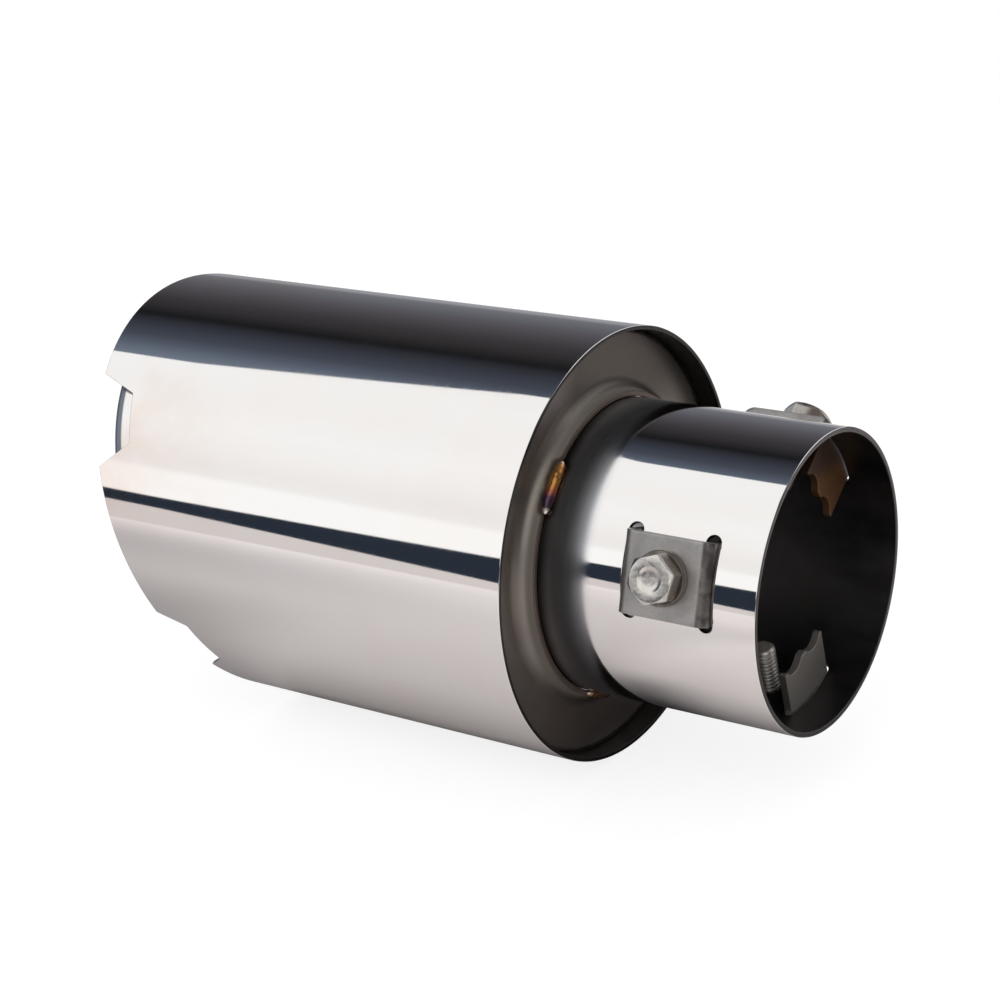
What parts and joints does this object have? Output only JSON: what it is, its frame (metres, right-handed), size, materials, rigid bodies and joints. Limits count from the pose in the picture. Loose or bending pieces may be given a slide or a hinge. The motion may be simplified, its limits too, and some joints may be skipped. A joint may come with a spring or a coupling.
{
  "type": "exhaust tip",
  "caption": "Double-walled exhaust tip with a slanted, notched outlet rim and an inlet neck held on the tailpipe by screwed claw clamps.",
  "frame": {"origin": "centre of the inlet mouth, on the tube axis", "axes": "+X along the tube axis and out of the inlet mouth, +Z towards the outlet's long side"},
  "size_m": [0.1805, 0.101, 0.101],
  "materials": {
    "polished_shell": "polished",
    "polished_liner": "polished",
    "satin_plate": "satin",
    "polished_neck": "polished",
    "satin_bracket": "satin",
    "bright_washer": "satin",
    "bright_bolt": "satin",
    "tinted_weld": "satin"
  },
  "bodies": {
    "tip": {"outer_shell": "polished_shell", "inner_liner": "polished_liner", "end_plate": "satin_plate", "inlet_neck": "polished_neck", "tack_weld_1": "tinted_weld", "tack_weld_2": "tinted_weld", "tack_weld_3": "tinted_weld"},
    "clamp_1": {"claw_bracket_1": "satin_bracket", "clamp_washer_1": "bright_washer", "clamp_bolt_1": "bright_bolt"},
    "clamp_2": {"claw_bracket_2": "satin_bracket", "clamp_washer_2": "bright_washer", "clamp_bolt_2": "bright_bolt"},
    "clamp_3": {"claw_bracket_3": "satin_bracket", "clamp_washer_3": "bright_washer", "clamp_bolt_3": "bright_bolt"}
  },
  "joints": [
    {"name": "clamp_1_travel", "type": "slide", "parent": "tip", "child": "clamp_1", "axis": [0, 0.8211, 0.5707], "range_m": [0, 0.01]},
    {"name": "clamp_2_travel", "type": "slide", "parent": "tip", "child": "clamp_2", "axis": [0, -0.9455, 0.3256], "range_m": [0, 0.01]},
    {"name": "clamp_3_travel", "type": "slide", "parent": "tip", "child": "clamp_3", "axis": [0, 0.1908, -0.9816], "range_m": [0, 0.01]}
  ]
}
